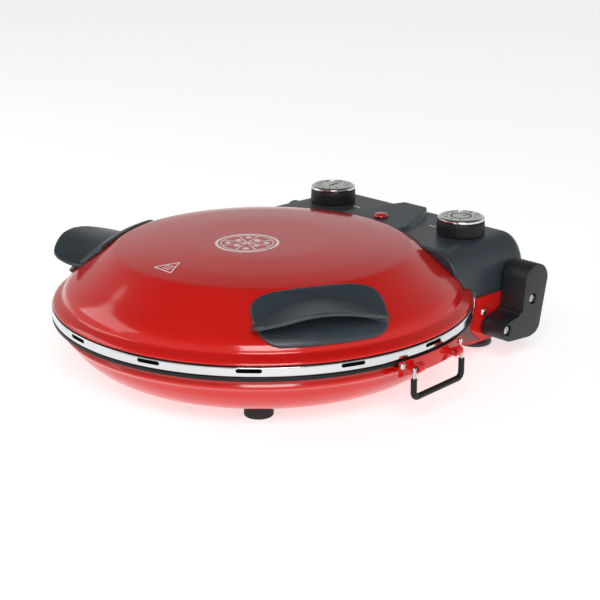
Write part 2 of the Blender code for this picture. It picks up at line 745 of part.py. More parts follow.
def make_handle(materials):
    """The plate on the lid's skirt, with the arched visor that the fingers go under."""
    plate = grid_solid("handle", handle_grid(GAP + HANDLE_PLATE), handle_grid(-1.2), materials["grey"])
    columns, rows = 14, 5
    upper, lower = [], []
    for r in range(rows + 1):
        out = r / rows
        top_row, bottom_row = [], []
        for c in range(columns + 1):
            angle = VISOR_ANGLES[0] + (VISOR_ANGLES[1] - VISOR_ANGLES[0]) * c / columns
            root_r, root_z = between(VISOR_ROOT, angle)
            lip_r, lip_z = between(VISOR_LIP, angle)
            radius = root_r - 2 + (lip_r - root_r + 2) * out
            z = root_z + (lip_z - root_z) * out - 2.2 * math.sin(math.pi * out)
            thick = 3.4 + 3.5 * (1 - out) ** 2
            top_row.append(polar(radius, angle, z + 1.2 * (1 - out)))
            bottom_row.append(polar(radius, angle, z + 1.2 * (1 - out) - thick))
        upper.append(top_row)
        lower.append(bottom_row)
    visor = grid_solid("visor", upper, lower)
    return pair(cut(weld(plate, visor), dome_cutter()))


def make_knobs(materials):
    """Two knobs, each a body with a silver cap on the shaft of its unit."""
    groups = []
    for name, side in (("timer", -1), ("thermostat", 1)):
        centre = (side * KNOB_X, KNOB_Y, 0)
        cap_bottom = KNOB_TOP - 3.2
        outline = [
            (SHAFT_RADIUS + 0.3, KNOB_BOTTOM), (KNOB_RADIUS, KNOB_BOTTOM), (KNOB_RADIUS, KNOB_BOTTOM + 4),
            (KNOB_RADIUS - 0.8, cap_bottom - GAP), (SHAFT_RADIUS + 0.3, cap_bottom - GAP),
        ]
        knob = turned(f"{name}_knob", outline, materials["black"], centre, segments=32)
        outline = [
            (0, cap_bottom), (KNOB_RADIUS - 0.6, cap_bottom), (KNOB_RADIUS - 0.8, KNOB_TOP - 1),
            (KNOB_RADIUS - 2.4, KNOB_TOP), (0, KNOB_TOP),
        ]
        cap = turned(f"{name}_knob_cap", outline, materials["chrome"], centre, segments=32)
        shaft = rod(
            f"{name}_shaft", SHAFT_RADIUS, 100, cap_bottom - GAP, materials["steel"], centre, segments=12,
        )
        groups.append((name, centre, [knob, cap, shaft]))
    return groups


# ---------------------------------------------------------------- assembly

def main():
    for leftover in list(bpy.data.objects):
        bpy.data.objects.remove(leftover)
    materials = {
        "red": finish("glossy_red_enamel", (0.62, 0.012, 0.012), 0.12),
        "grey": finish("slate_grey_plastic", (0.045, 0.06, 0.068), 0.4),
        "black": finish("black_plastic", (0.01, 0.01, 0.011), 0.45),
        "rubber": finish("black_rubber", (0.012, 0.012, 0.012), 0.7),
        "chrome": finish("polished_steel", (0.8, 0.82, 0.83), 0.12, 1.0),
        "steel": finish("plain_steel", (0.6, 0.6, 0.6), 0.3, 1.0),
        "screw": finish("zinc_plated_steel", (0.72, 0.72, 0.7), 0.25, 1.0),
        "element": finish("heated_steel", (0.18, 0.16, 0.14), 0.5, 0.8),
        "stone": finish("cordierite_stone", (0.66, 0.56, 0.43), 0.9),
        "packing": finish("mineral_wool", (0.72, 0.69, 0.6), 0.95),
        "brass": finish("switch_body", (0.5, 0.42, 0.25), 0.4, 0.6),
        "lamp": finish("red_lamp_lens", (0.5, 0.01, 0.01), 0.1),
        "glass": finish("neon_lamp_glass", (0.85, 0.5, 0.3), 0.1),
    }
    make_base(materials)
    make_seal(materials)
    make_band(materials)
    make_front_foot(materials)
    make_rear_foot(materials)
    make_bracket(materials)
    make_bracket_rivet(materials)
    make_arm(materials)
    make_arm_screws(materials)
    make_pin(materials)
    make_bail_strip(materials)
    make_strip_rivets(materials)
    lid_pieces = make_lid(materials) + make_housing(materials) + make_controls(materials)
    lid_pieces += make_handle(materials)
    lid_axis = body("lid_axis", (0, PIVOT_Y, PIVOT_Z), lid_pieces)
    for name, centre, pieces in make_knobs(materials):
        knob_axis = body(f"{name}_axis", centre, pieces)
        knob_axis.parent = lid_axis
        knob_axis.matrix_parent_inverse = Matrix.Translation(-lid_axis.location)
    pivot = Vector(polar(BAIL_RADIUS, BAIL_ANGLE, BAIL_Z))
    wires = make_bail(materials)
    for label, side in (("right", 1), ("left", -1)):
        carried = [piece for piece in wires if piece.name.endswith(label)]
        body(f"bail_axis_{label}", (side * pivot.x, pivot.y, pivot.z), carried)
    for thing in bpy.data.objects:
        if thing.parent is None:
            thing.location.y += MOVE_TO_MIDDLE * MM


main()
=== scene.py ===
"""The looks of a countertop pizza oven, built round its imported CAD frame.

Pieces are drawn in millimetres round the oven's own centre: +Z up, the front at -Y, the hinge at +Y.
The frame's origin is the middle of the whole footprint, so each mesh is moved by MIDDLE along Y.
"""

import json
import math

import bmesh
import bpy
from mathutils import Matrix, Vector

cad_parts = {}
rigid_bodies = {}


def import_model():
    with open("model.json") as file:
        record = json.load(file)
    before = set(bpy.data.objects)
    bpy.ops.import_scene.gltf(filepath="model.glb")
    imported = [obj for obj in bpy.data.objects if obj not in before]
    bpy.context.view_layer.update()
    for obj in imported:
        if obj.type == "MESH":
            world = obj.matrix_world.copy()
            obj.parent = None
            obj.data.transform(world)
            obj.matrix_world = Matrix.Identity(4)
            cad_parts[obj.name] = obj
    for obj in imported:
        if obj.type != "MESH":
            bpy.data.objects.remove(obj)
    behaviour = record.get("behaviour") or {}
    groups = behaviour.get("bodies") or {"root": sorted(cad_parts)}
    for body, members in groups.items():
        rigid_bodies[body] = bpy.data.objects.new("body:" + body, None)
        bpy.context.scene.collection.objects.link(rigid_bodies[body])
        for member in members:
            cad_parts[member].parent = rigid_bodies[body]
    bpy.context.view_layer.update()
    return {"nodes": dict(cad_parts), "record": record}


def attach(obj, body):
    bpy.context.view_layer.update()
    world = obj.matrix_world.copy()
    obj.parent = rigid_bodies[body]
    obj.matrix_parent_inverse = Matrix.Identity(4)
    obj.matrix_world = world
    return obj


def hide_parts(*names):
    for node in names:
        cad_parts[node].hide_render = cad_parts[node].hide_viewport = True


for leftover in list(bpy.data.objects):
    bpy.data.objects.remove(leftover)
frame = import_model()

MM = 0.001
MIDDLE = -15.6
FINE = 192
PIVOT = (180.5, 72)
BAIL_PIVOT = (187.5, 51.5)
BAIL_ANGLE = 5
KNOB_X, KNOB_Y = 80, 163.8
HOUSING_END = 124.5
SHOULDER = 98
HANDLE_ANGLE = -24.2
FRONT_FOOT = (82, -79, 0)
REAR_FOOT = (89, 177, 0)
LAMP = (0, 146, 0)
CORD_INLET = (0, 0, 88)
SLOTS, FIRST_SLOT, SLOT_LEVEL = 14, -45.4, 62.2
ELEMENT_RING, ELEMENT_LEVEL, TERMINAL_X = 104, 89, 13
MARK_LOW, MARK_HIGH = 118.98, 119.12

LID_LINE = [
    (0, 116.7), (30, 116.6), (60, 116.2), (80, 115), (100, 113.3), (112, 111.7), (121, 110.2), (125, 109.35),
    (126.8, 108.75), (129.2, 107.4), (133.5, 104.8), (140, 100.3), (150, 93), (158, 87.3), (164, 82.6),
    (167.8, 78.5), (169.7, 74.9), (170.6, 72.7), (171.9, 71.4), (174.2, 70.4), (176.7, 69.1), (178.3, 67.8),
    (179, 66.7), (179.1, 66),
]
BASE_LINE = [
    (0, 12), (60, 12), (118, 12), (134, 13.6), (146, 18), (156, 25), (164, 33.5), (169, 41.2), (171.9, 44),
    (172.3, 45.6), (171.6, 47.2), (171, 48.8), (171.6, 51),
]
LID_LINER_LINE = [
    (0, 97.1), (60, 96.3), (104, 95.6), (111, 95.2), (119, 91.9), (130, 87.2), (141, 82.4), (150, 75.4),
    (158.5, 68.9), (160.5, 67.8), (168.5, 67),
]
BASE_LINER_LINE = [
    (0, 35.2), (80, 35.2), (146, 35.2), (151.3, 47.8), (160.4, 47.9), (161.7, 56.8), (176, 56.8),
]


# ---------------------------------------------------------------- meshes

def place(name, mesh, body, material, replaces=(), smooth=35):
    """Puts a mesh drawn in millimetres into the frame, on its body."""
    mesh.transform(Matrix.Translation((0, MIDDLE * MM, 0)))
    mesh.materials.clear()
    mesh.materials.append(material)
    mesh.shade_smooth()
    mesh.set_sharp_from_angle(angle=math.radians(smooth))
    piece = bpy.data.objects.new(name, mesh)
    bpy.context.scene.collection.objects.link(piece)
    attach(piece, body)
    if replaces:
        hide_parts(*replaces)
    return piece


def closed(points, faces):
    """A mesh from points in millimetres, its faces turned outwards."""
    mesh = bpy.data.meshes.new("shape")
    mesh.from_pydata([Vector(p) * MM for p in points], [], faces)
    shape = bmesh.new()
    shape.from_mesh(mesh)
    bmesh.ops.remove_doubles(shape, verts=shape.verts, dist=1e-7)
    bmesh.ops.recalc_face_normals(shape, faces=shape.faces)
    shape.to_mesh(mesh)
    shape.free()
    return mesh


def turned(outline, centre=(0, 0, 0), axis="Z", segments=FINE):
    """The closed (radius, height) outline turned about an axis through centre."""
    points, rings, faces = [], [], []
    for radius, height in outline:
        if radius == 0:
            rings.append([len(points)] * segments)
            points.append((0, 0, height))
            continue
        rings.append(list(range(len(points), len(points) + segments)))
        for step in range(segments):
            angle = 2 * math.pi * step / segments
            points.append((radius * math.cos(angle), radius * math.sin(angle), height))
    for low, high in zip(rings, rings[1:] + rings[:1]):
        for step in range(segments):
            nxt = (step + 1) % segments
            face = list(dict.fromkeys([low[step], low[nxt], high[nxt], high[step]]))
            if len(face) > 2:
                faces.append(face)
    order = {"Z": (0, 1, 2), "X": (2, 0, 1), "Y": (0, 2, 1)}[axis]
    return closed([tuple(p[order[i]] + centre[i] for i in range(3)) for p in points], faces)


def prism(outline, low, high, axis="Z"):
    """A flat outline extruded along an axis: (x, y) for Z, (y, z) for X."""
    count = len(outline)
    points = []
    for level in (low, high):
        points += [(a, b, level) if axis == "Z" else (level, a, b) for a, b in outline]
    faces = [list(range(count)), list(range(count, 2 * count))]
    faces += [[i, (i + 1) % count, count + (i + 1) % count, count + i] for i in range(count)]
    return closed(points, faces)


def swept(path, radius, bore=0, sides=16):
    """A round bar along a path, or a tube where bore, its inner radius, is above 0."""
    path = [Vector(p) for p in path]
    rings, points = [], []
    side = None
    for i, point in enumerate(path):
        tangent = (path[min(i + 1, len(path) - 1)] - path[max(i - 1, 0)]).normalized()
        side = side or tangent.orthogonal()
        side = (side - tangent * side.dot(tangent)).normalized()
        up = tangent.cross(side)
        sizes = (radius, bore) if bore else (radius,)
        for size in sizes:
            rings.append(list(range(len(points), len(points) + sides)))
            for step in range(sides):
                angle = 2 * math.pi * step / sides
                points.append(point + side * size * math.cos(angle) + up * size * math.sin(angle))
    skins = [rings[0::2], rings[1::2]] if bore else [rings]
    faces = []
    for skin in skins:
        for low, high in zip(skin, skin[1:]):
            faces += [[low[s], low[(s + 1) % sides], high[(s + 1) % sides], high[s]] for s in range(sides)]
    for end in (0, -1):
        if bore:
            a, b = skins[0][end], skins[1][end]
            faces += [[a[s], a[(s + 1) % sides], b[(s + 1) % sides], b[s]] for s in range(sides)]
        else:
            faces.append(skins[0][end])
    return closed(points, faces)


def slab(top, bottom):
    """A closed slab between two grids of points of the same size."""
    rows, columns = len(top), len(top[0])
    points = [p for grid in (top, bottom) for row in grid for p in row]

    def at(side, r, c):
        return side * rows * columns + r * columns + c

    faces = []
    for side in (0, 1):
        for r in range(rows - 1):
            for c in range(columns - 1):
                faces.append([at(side, r, c), at(side, r, c + 1), at(side, r + 1, c + 1), at(side, r + 1, c)])
    border = [(0, c) for c in range(columns)] + [(r, columns - 1) for r in range(1, rows)]
    border += [(rows - 1, c) for c in range(columns - 2, -1, -1)] + [(r, 0) for r in range(rows - 2, 0, -1)]
    for (r, c), (s, d) in zip(border, border[1:] + border[:1]):
        faces.append([at(0, r, c), at(0, s, d), at(1, s, d), at(1, r, c)])
    return closed(points, faces)


def arc(centre, radius, start, end, steps):
    """Points on a circle, angles in degrees."""
    angles = [math.radians(start + (end - start) * i / steps) for i in range(steps + 1)]
    return [(centre[0] + radius * math.cos(a), centre[1] + radius * math.sin(a)) for a in angles]


def curve(points, steps=5):
    """A smooth line through points: Catmull-Rom."""
    line = []
    ends = [points[0]] + list(points) + [points[-1]]
    for a, b, c, d in zip(ends, ends[1:], ends[2:], ends[3:]):
        for k in range(steps):
            t = k / steps
            line.append(tuple(
                0.5 * (
                    2 * q + (r - p) * t + (2 * p - 5 * q + 4 * r - s) * t * t
                    + (3 * q - p - 3 * r + s) * t**3
                )
                for p, q, r, s in zip(a, b, c, d)
            ))
    return line + [tuple(points[-1])]


def rounded(outline, radius, steps=4):
    """A closed outline with each corner rounded."""
    result = []
    for before, corner, after in zip(outline[-1:] + outline[:-1], outline, outline[1:] + outline[:1]):
        p, c, n = Vector(before), Vector(corner), Vector(after)
        a, b = (p - c), (n - c)
        reach = min(radius, a.length * 0.45, b.length * 0.45)
        start, end = c + a.normalized() * reach, c + b.normalized() * reach
        for k in range(steps + 1):
            t = k / steps
            result.append(tuple(start * (1 - t) ** 2 + c * 2 * t * (1 - t) + end * t * t))
    return result


def offset_line(line, distance):
    """The line moved to its left. Points on the axis stay on it."""
    moved = []
    for i, (r, z) in enumerate(line):
        before, after = line[max(i - 1, 0)], line[min(i + 1, len(line) - 1)]
        dr, dz = after[0] - before[0], after[1] - before[1]
        size = math.hypot(dr, dz)
        moved.append((max(r - dz / size * distance, 0) if r else 0, z + dr / size * distance))
    return moved


def sheet(line, thickness):
    """The outline of a turned sheet: a smooth line and its offset."""
    return line + offset_line(line, thickness)[::-1]


def changed(mesh, kind, **settings):
    """The mesh with one modifier applied."""
    holder = bpy.data.objects.new("holder", mesh)
    bpy.context.scene.collection.objects.link(holder)
    modifier = holder.modifiers.new(kind, kind)
    for key, value in settings.items():
        setattr(modifier, key, value)
    graph = bpy.context.evaluated_depsgraph_get()
    result = bpy.data.meshes.new_from_object(holder.evaluated_get(graph))
    bpy.data.objects.remove(holder)
    return result


def eased(mesh, width, segments=3, angle=40):
    """The mesh with its sharp edges bevelled."""
    return changed(
        mesh, "BEVEL", width=width * MM, segments=segments, limit_method="ANGLE",
        angle_limit=math.radians(angle), use_clamp_overlap=True,
    )


def moulded(meshes, voxel, passes):
    """Overlapping closed meshes fused into one soft-edged moulding."""
    fused = changed(together(meshes), "REMESH", mode="VOXEL", voxel_size=voxel * MM, use_smooth_shade=True)
    return changed(fused, "SMOOTH", factor=0.5, iterations=passes)


def together(meshes):
    """Several meshes as one, not fused."""
    shape = bmesh.new()
    for mesh in meshes:
        shape.from_mesh(mesh)
    result = bpy.data.meshes.new("shape")
    shape.to_mesh(result)
    shape.free()
    return result


def boolean(mesh, others, operation="DIFFERENCE"):
    """The mesh with each of the others taken away, or added with UNION."""
    for other in others:
        tool = bpy.data.objects.new("tool", other)
        bpy.context.scene.collection.objects.link(tool)
        mesh = changed(mesh, "BOOLEAN", operation=operation, object=tool, solver="EXACT")
        bpy.data.objects.remove(tool)
    return mesh


def mirrored(mesh):
    """The mesh's mirror image on the other side of the oven."""
    copy = mesh.copy()
    copy.transform(Matrix.Scale(-1, 4, (1, 0, 0)))
    copy.flip_normals()
    return copy


def pair(name, mesh, body, material, nodes=(), smooth=35):
    """A piece on the right and its mirror image on the left. {side} in a name becomes right or left."""
    left = mirrored(mesh)
    for side, shape in (("right", mesh), ("left", left)):
        place(
            name.format(side=side), shape, body.format(side=side), material,
            [node.format(side=side) for node in nodes], smooth,
        )


def height(line, radius):
    """The height of a (radius, height) line at a radius."""
    for (r0, z0), (r1, z1) in zip(line, line[1:]):
        if r0 <= radius <= r1:
            return z0 + (z1 - z0) * (radius - r0) / (r1 - r0)
    return line[-1][1]


def between(table, x):
    """Values read from a table of (x, value, ...) by straight lines."""
    if x <= table[0][0]:
        return table[0][1:]
    for a, b in zip(table, table[1:]):
        if a[0] <= x <= b[0]:
            t = (x - a[0]) / (b[0] - a[0])
            return tuple(p + (q - p) * t for p, q in zip(a[1:], b[1:]))
    return table[-1][1:]


def polar(radius, angle, z):
    """A point at an angle in degrees round the oven's centre."""
    a = math.radians(angle)
    return (radius * math.cos(a), radius * math.sin(a), z)


# ---------------------------------------------------------------- materials

def material(name, colour, roughness, metallic=0.0, shade=0.85, spot=60, spread=0.04, bump=0.0, grain=900,
             stretch=(1, 1, 1), coat=0.0, shine=0.5, specks=None):
    """A surface whose colour and roughness drift a little, with a fine bump.

    shade darkens the patches, spot is their frequency per metre, grain is the bump's frequency,
    stretch squeezes the grain for brushed metal, and specks adds dots of another colour.
    """
    made = bpy.data.materials.new(name)
    made.use_nodes = True
    nodes, links = made.node_tree.nodes, made.node_tree.links
    shader = nodes["Principled BSDF"]
    shader.inputs["Metallic"].default_value = metallic
    shader.inputs["Coat Weight"].default_value = coat
    shader.inputs["Specular IOR Level"].default_value = shine
    shader.inputs["Coat Roughness"].default_value = 0.04
    where = nodes.new("ShaderNodeTexCoord")
    patches = nodes.new("ShaderNodeTexNoise")
    patches.inputs["Scale"].default_value = spot
    patches.inputs["Detail"].default_value = 5
    links.new(where.outputs["Object"], patches.inputs["Vector"])
    ramp = nodes.new("ShaderNodeValToRGB")
    ramp.color_ramp.elements[0].position = 0.3
    ramp.color_ramp.elements[1].position = 0.7
    ramp.color_ramp.elements[0].color = (*[c * shade for c in colour], 1)
    ramp.color_ramp.elements[1].color = (*colour, 1)
    links.new(patches.outputs["Fac"], ramp.inputs["Fac"])
    tint = ramp.outputs["Color"]
    if specks:
        dots = nodes.new("ShaderNodeTexNoise")
        dots.inputs["Scale"].default_value = specks[1]
        dots.inputs["Detail"].default_value = 2
        links.new(where.outputs["Object"], dots.inputs["Vector"])
        gate = nodes.new("ShaderNodeMapRange")
        gate.inputs["From Min"].default_value = 0.6
        gate.inputs["From Max"].default_value = 0.68
        links.new(dots.outputs["Fac"], gate.inputs["Value"])
        mix = nodes.new("ShaderNodeMix")
        mix.data_type = "RGBA"
        links.new(gate.outputs["Result"], mix.inputs["Factor"])
        links.new(tint, mix.inputs["A"])
        mix.inputs["B"].default_value = (*specks[0], 1)
        tint = mix.outputs["Result"]
    links.new(tint, shader.inputs["Base Color"])
    rough = nodes.new("ShaderNodeMapRange")
    rough.inputs["To Min"].default_value = max(roughness - spread, 0.02)
    rough.inputs["To Max"].default_value = roughness + spread
    links.new(patches.outputs["Fac"], rough.inputs["Value"])
    links.new(rough.outputs["Result"], shader.inputs["Roughness"])
    if bump:
        squeeze = nodes.new("ShaderNodeMapping")
        squeeze.inputs["Scale"].default_value = stretch
        links.new(where.outputs["Object"], squeeze.inputs["Vector"])
        fine = nodes.new("ShaderNodeTexNoise")
        fine.inputs["Scale"].default_value = grain
        fine.inputs["Detail"].default_value = 3
        links.new(squeeze.outputs["Vector"], fine.inputs["Vector"])
        relief = nodes.new("ShaderNodeBump")
        relief.inputs["Strength"].default_value = bump
        relief.inputs["Distance"].default_value = 0.0002
        links.new(fine.outputs["Fac"], relief.inputs["Height"])
        links.new(relief.outputs["Normal"], shader.inputs["Normal"])
    return made


RED = material("red_enamel", (0.6, 0.01, 0.007), 0.13, shade=0.95, spot=12, spread=0.02, bump=0.012, grain=260)
SLATE = material("slate_moulding", (0.03, 0.042, 0.051), 0.38, shade=0.88, spread=0.05, bump=0.12, grain=2600)
COAL = material("dark_moulding", (0.011, 0.014, 0.017), 0.46, shade=0.88, spread=0.05, bump=0.12, grain=2600)
BLACK = material("black_moulding", (0.006, 0.006, 0.007), 0.45, shade=0.8, bump=0.1, grain=2200, shine=0.3)
RUBBER = material("black_rubber", (0.014, 0.014, 0.014), 0.72, shade=0.75, bump=0.25, grain=1500)
CHROME = material("polished_band", (0.7, 0.72, 0.73), 0.1, metallic=1.0, shade=0.94, spread=0.03, bump=0.03,
                  grain=500, stretch=(1, 1, 14))
STEEL = material("bright_sheet", (0.62, 0.62, 0.61), 0.27, metallic=1.0, shade=0.9, spread=0.07, bump=0.08,
                 grain=700, stretch=(1, 1, 6))
WIRE = material("plated_wire", (0.6, 0.59, 0.57), 0.22, metallic=1.0, shade=0.85, bump=0.05, grain=1500)
ZINC = material("plated_screws", (0.72, 0.72, 0.7), 0.25, metallic=1.0, shade=0.8, spot=300, bump=0.06,
                grain=2500)
COIL = material("heated_tube", (0.16, 0.14, 0.125), 0.5, metallic=0.8, shade=0.6, spot=120, spread=0.12,
                bump=0.1, grain=900)
STONE = material("baking_stone", (0.66, 0.56, 0.43), 0.88, shade=0.88, spot=45, spread=0.06, bump=0.5,
                 grain=420, specks=((0.45, 0.36, 0.26), 520))
WOOL = material("mineral_wool", (0.72, 0.69, 0.6), 0.95, shade=0.8, spot=150, bump=0.9, grain=900)
CERAMIC = material("terminal_ceramic", (0.8, 0.78, 0.7), 0.5, shade=0.92, bump=0.1)
BAKELITE = material("switch_bodies", (0.5, 0.42, 0.25), 0.4, shade=0.85, bump=0.1)
LENS = material("red_lens", (0.55, 0.012, 0.01), 0.12, shade=0.8, spot=400, coat=0.5)
GLASS = material("lamp_glass", (0.85, 0.5, 0.3), 0.1, shade=0.9)
PRINT = material("white_print", (0.85, 0.84, 0.82), 0.35, shade=0.95, bump=0.05)
DIAL = material("dial_face", (0.62, 0.65, 0.6), 0.3, metallic=0.3, shade=0.92, spot=150, bump=0.05, grain=2000)
INK = material("dial_ink", (0.015, 0.015, 0.015), 0.5, shade=0.8, bump=0.05)

BY_SLOT = {
    "red_enamel": RED, "slate_plastic": SLATE, "black_plastic": BLACK, "black_rubber": RUBBER,
    "chrome_trim": CHROME, "plain_steel": STEEL, "zinc_fixings": ZINC, "element_steel": COIL,
    "baking_stone": STONE, "mineral_wool": WOOL, "terminal_ceramic": CERAMIC, "switch_body": BAKELITE,
    "red_lens": LENS, "lamp_glass": GLASS,
}
for part in frame["record"]["subparts"]:
    node = frame["nodes"][part["node"]]
    node.data.materials.clear()
    node.data.materials.append(BY_SLOT[part["material_slot"]])


# ---------------------------------------------------------------- base

place("base_pan", turned(sheet(curve(BASE_LINE), 1.3)), "base", RED, ["base_shell"])
place(
    "base_bright_liner", turned(sheet(curve(BASE_LINER_LINE, 3), 0.9)), "base", STEEL,
    ["base_reflector"],
)
place(
    "stone_disc", turned(rounded([(0.01, 49), (158.2, 49), (158.2, 60), (0.01, 60)], 1.8)), "base",
    STONE, ["pizza_stone"],
)
place(
    "rim_gasket", turned(rounded([
        (164.2, 51.9), (176.2, 51.9), (176.2, 54), (180.1, 54), (180.1, 56.8), (176.4, 56.8), (176.4, 56.1),
        (164.2, 56.1),
    ], 0.6)), "base", BLACK, ["rim_seal"],
)


def slotted_band():
    """The polished band: a wall with a rolled top edge and a row of slots."""
    outline = rounded([
        (176.7, 57.4), (179.7, 57.4), (180.2, 58.4), (180.2, 63.8),
        (179.9, 64.8), (178.7, 64.8), (178.8, 58.5), (176.7, 58.5),
    ], 0.4)
    band = turned(outline)
    oval = arc((8.4, 0), 1.6, -90, 90, 8) + arc((-8.4, 0), 1.6, 90, 270, 8)
    cutters = []
    for k in range(SLOTS):
        cutter = prism(oval, 176, 184, axis="X")
        turn = Matrix.Rotation(math.radians(FIRST_SLOT + 360 * k / SLOTS), 4, "Z")
        cutter.transform(turn @ Matrix.Translation((0, 0, SLOT_LEVEL * MM)))
        cutters.append(cutter)
    return boolean(band, [together(cutters)])


place("slotted_rim_band", slotted_band(), "base", CHROME, ["rim_band"], 40)

front_foot = [(0.01, 0), (11.2, 0), (12, 0.9), (12, 10.6), (11.3, 11.5), (3, 11.5), (3, 16.4), (0.01, 16.4)]
pair(
    "front_foot_{side}_rubber", turned(rounded(front_foot, 0.5), FRONT_FOOT, segments=64), "base",
    RUBBER, ["front_foot_{side}"],
)
rear_foot = curve([(14.6, 0.1), (15.4, 1.2), (15.2, 3.6), (12.6, 7), (10.9, 11.5), (10.4, 19.5)], 4)
pair(
    "rear_foot_{side}_flared",
    turned([(0.01, 0)] + rear_foot + [(3, 19.6), (3, 25), (0.01, 25)], REAR_FOOT, segments=64),
    "base", SLATE, ["rear_foot_{side}"],
)


# ---------------------------------------------------------------- hinge

ARM_SCREWS = [(176.2, 56.6), (143.5, 35.1)]
RIVET = (141.5, 46.6)


def hinge_bracket():
    """A folded sheet: a flange under the housing and an upright beside the arm."""
    flange = rounded([(70, 151), (118, 118), (127.2, 124.5), (127.2, 194), (70, 194)], 3)
    upright = rounded(
        [(127, 31), (127, 48.5), (129, 51), (132, 51.5), (132, 60), (170, 60), (173, 57), (189, 57),
         (189, 21), (140, 21)], 1)
    shape = boolean(prism(flange, 20, 22), [prism(upright, 125.2, 127.1, axis="X")], "UNION")
    shell = turned([(0, 5), (164, 5), (164, 60), (0, 60)], segments=96)
    holes = [
        turned([(0, 120), (2.4, 120), (2.4, 130), (0, 130)], (0, y, z), "X", 24)
        for y, z in ARM_SCREWS + [RIVET]
    ]
    holes.append(turned([(0, 10), (3.4, 10), (3.4, 30), (0, 30)], REAR_FOOT, segments=24))
    return boolean(shape, [shell] + holes)


pair("hinge_bracket_{side}_folded", hinge_bracket(), "base", RED, ["hinge_bracket_{side}"])


def hinge_arm():
    """The moulded arm that holds the hinge pin, with two stepped screw holes."""
    outline = arc(PIVOT, 15, 0, 180, 24)
    outline += rounded([
        (161.2, 48.5), (158.5, 44.6), (150, 43.6), (143, 41.4), (138.6, 37), (138, 31.5),
        (141, 26.5), (146, 24.4), (174, 22.6), (182, 24.6), (186.8, 30),
    ], 2.2)[:-5] + [(186.2, 28.8), (187, 31.5)]
    arm = eased(prism(outline, 127.6, 153.4, axis="X"), 1.3, 4, 30)
    cutters = [turned([(0, 120), (4.3, 120), (4.3, 147), (0, 147)], (0, *PIVOT), "X", 32)]
    for y, z in ARM_SCREWS:
        stepped = [(0, 120), (2.4, 120), (2.4, 148.8), (4.6, 148.8), (4.6, 152.8), (5.2, 154), (0, 154)]
        cutters.append(turned(stepped, (0, y, z), "X", 40))
    return boolean(arm, cutters)


pair("hinge_arm_{side}_moulded", hinge_arm(), "base", COAL, ["hinge_arm_{side}"], 30)


def screw(y, z):
    """A cross-head screw whose head sits low in the arm."""
    outline = [
        (0, 125.1), (2, 125.1), (2, 149.2), (3.9, 149.2), (3.9, 150.6), (3.4, 151.6), (2, 152.1), (0, 152.2),
    ]
    body = turned(outline, (0, y, z), "X", 32)
    bars = []
    for turn in (20, 110):
        bar = prism([(-2.6, -0.45), (2.6, -0.45), (2.6, 0.45), (-2.6, 0.45)], 150.9, 154, axis="X")
        bar.transform(Matrix.Translation((0, y * MM, z * MM)) @ Matrix.Rotation(math.radians(turn), 4, "X"))
        bars.append(bar)
    return boolean(body, bars)


for label, (y, z) in zip(("upper", "lower"), ARM_SCREWS):
    pair(
        f"arm_screw_{label}_{{side}}_cross", screw(y, z), "base", ZINC,
        [f"arm_screw_{label}_{{side}}"],
    )
rivet = curve([(2.1, 127.5), (3.4, 127.6), (3.3, 128.2), (2.6, 128.9), (1.4, 129.3), (0.01, 129.4)], 3)
pair(
    "bracket_rivet_{side}_dome",
    turned([(0.01, 125.1), (2, 125.1), (2, 127.5)] + rivet[1:], (0, *RIVET), "X", 32),
    "base", ZINC, ["bracket_rivet_{side}"],
)
pin = [(0.01, 110), (3.6, 110), (4, 110.4), (4, 146.1), (3.6, 146.5), (0.01, 146.5)]
pair(
    "hinge_pin_{side}_turned", turned(pin, (0, *PIVOT), "X", 40), "base", WIRE,
    ["hinge_pin_{side}"],
)
collar = rounded([(4.4, 124.9), (12.4, 124.9), (12.4, 127.1), (4.4, 127.1)], 0.5)
pair(
    "hinge_collar_{side}_ring", turned(collar, (0, *PIVOT), "X", 64), "base", BLACK,
    ["hinge_collar_{side}"],
)


# ---------------------------------------------------------------- carrying bails

def bail_frame():
    """Where the bail's axis stands: its origin on the axis, X outwards."""
    turn = Matrix.Rotation(math.radians(BAIL_ANGLE), 4, "Z")
    return turn @ Matrix.Translation((BAIL_PIVOT[0] * MM, 0, BAIL_PIVOT[1] * MM))


def bail_path(stub):
    """The bail's centre line from one side to the other, with its bent-in ends if stub is set."""
    half, drop, bend = 31, 24, 5
    steps = [math.radians(9 * k) for k in range(0, 11)]
    right = [(half - bend + bend * math.sin(a), -drop + bend - bend * math.cos(a)) for a in steps]
    right += [(half, -drop + bend + 3), (half, -8)]
    if stub:
        right += [(half, -5), (half, -2.6), (half - 0.25, -1.5), (half - 0.9, -0.7), (half - 1.8, -0.15)]
        right += [(half - 3, 0), (24, 0), (20, 0)]
    return [(0, -y, z) for y, z in reversed(right)] + [(0, 0, -drop)] + [(0, y, z) for y, z in right]


for label, mesh, paint, kind in (
    ("wire", swept(bail_path(True), 1.5, sides=20), WIRE, "plain_steel"),
    ("sleeve", swept(bail_path(False), 2.5, bore=1.75, sides=24), BLACK, "black_plastic"),
):
    mesh.transform(bail_frame())
    pair(f"bail_{label}_{{side}}_bent", mesh, "bail_{side}", paint, [f"bail_{label}_{{side}}"])


